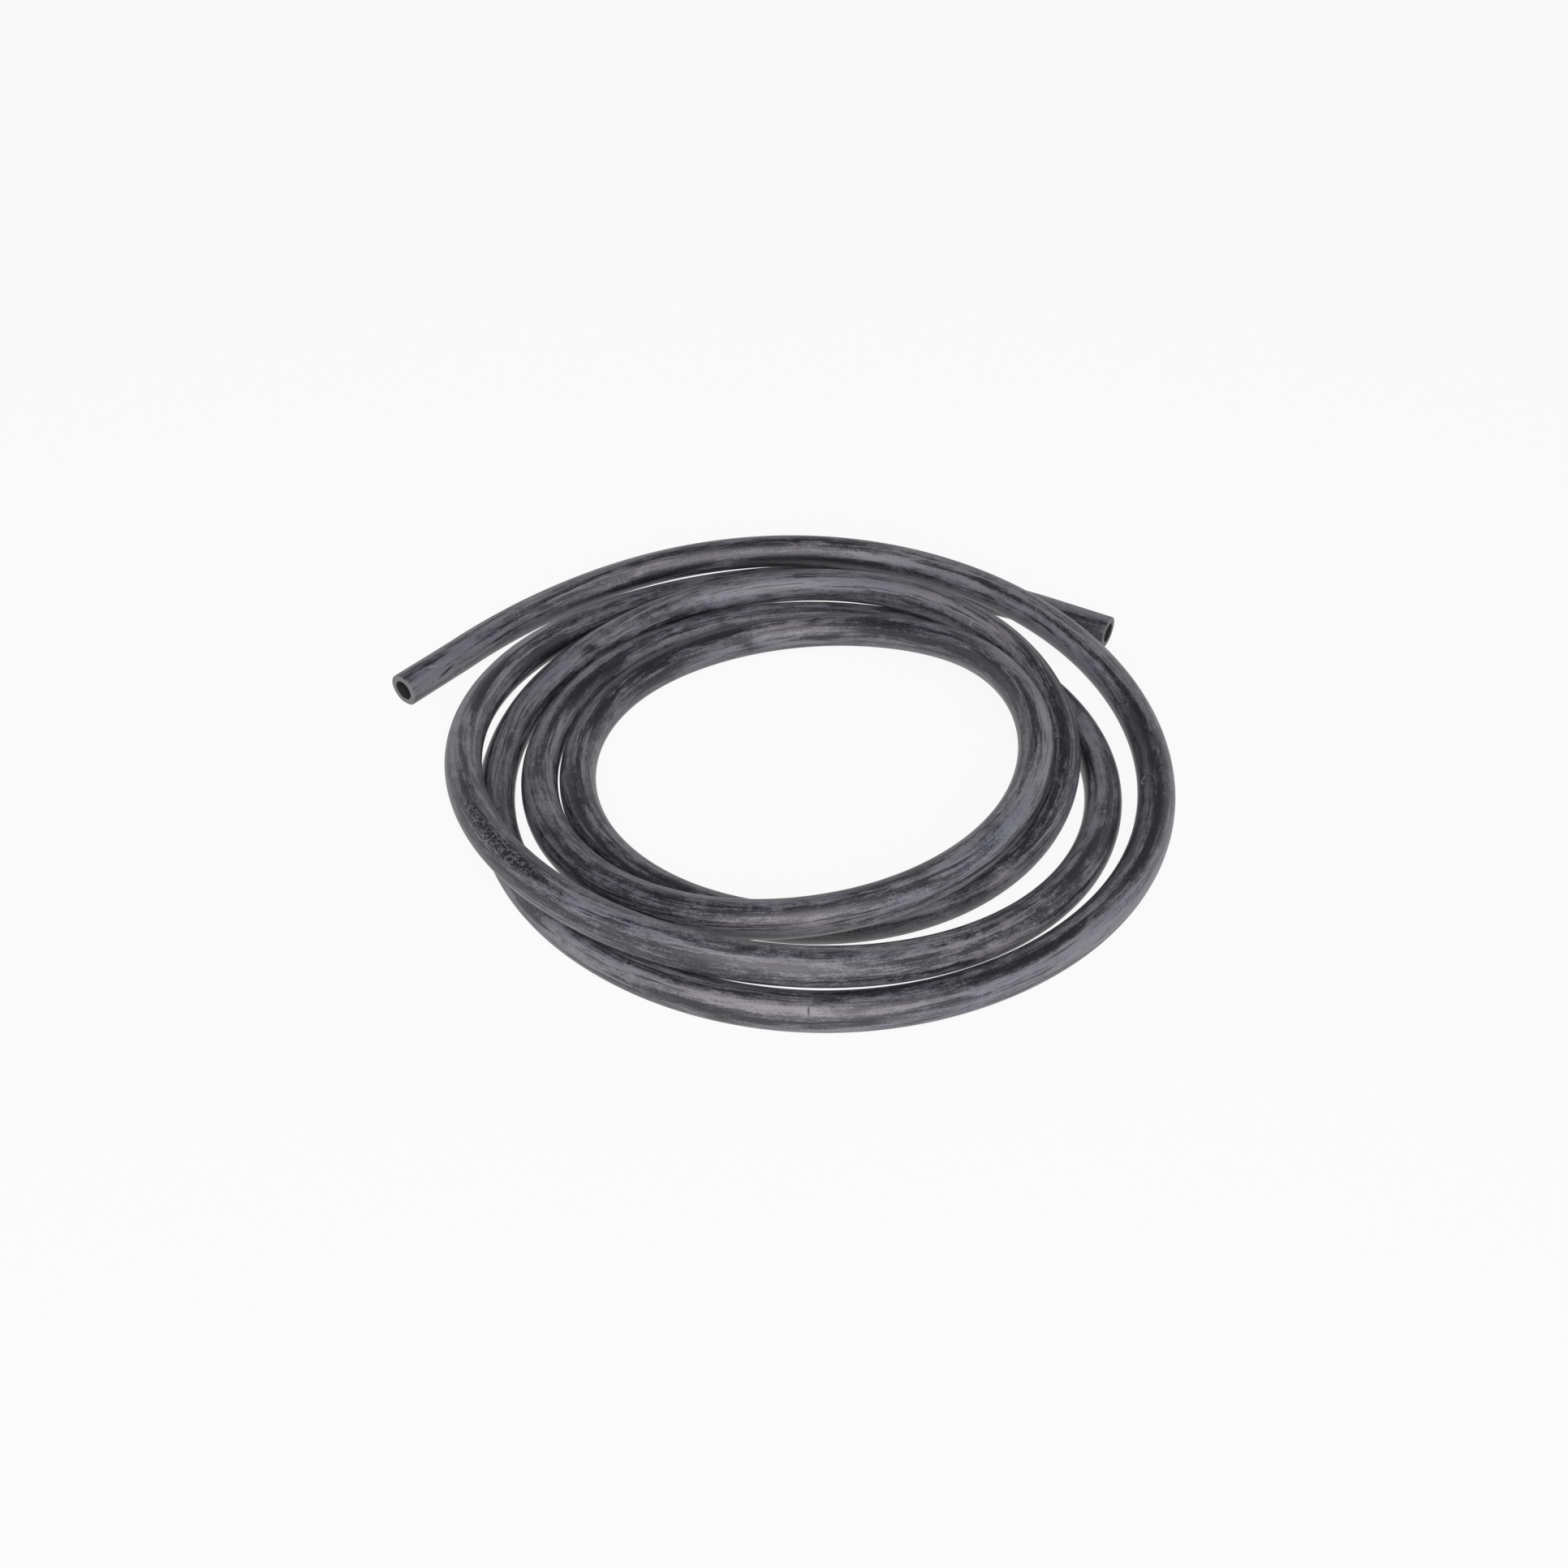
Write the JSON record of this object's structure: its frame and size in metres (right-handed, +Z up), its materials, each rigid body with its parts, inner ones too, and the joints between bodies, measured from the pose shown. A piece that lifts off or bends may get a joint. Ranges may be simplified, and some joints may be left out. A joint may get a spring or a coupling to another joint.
{
  "type": "soaker hose",
  "caption": "Plain round rubber watering hose with an open bore and square-cut ends, coiled loosely and lying flat.",
  "frame": {"origin": "under the middle of the whole coil, on the surface that it lies on", "axes": "+Z up, square to the coil; +X along the coil's longer side, from the left end towards the right end"},
  "size_m": [0.3566, 0.3107, 0.0338],
  "materials": {
    "hose_rubber": "charcoal rubber, satin, with a grey dusty bloom in streaks along the hose"
  },
  "bodies": {
    "root": {"hose_coil": "hose_rubber", "hose_left_end": "hose_rubber", "hose_right_end": "hose_rubber"}
  },
  "joints": []
}
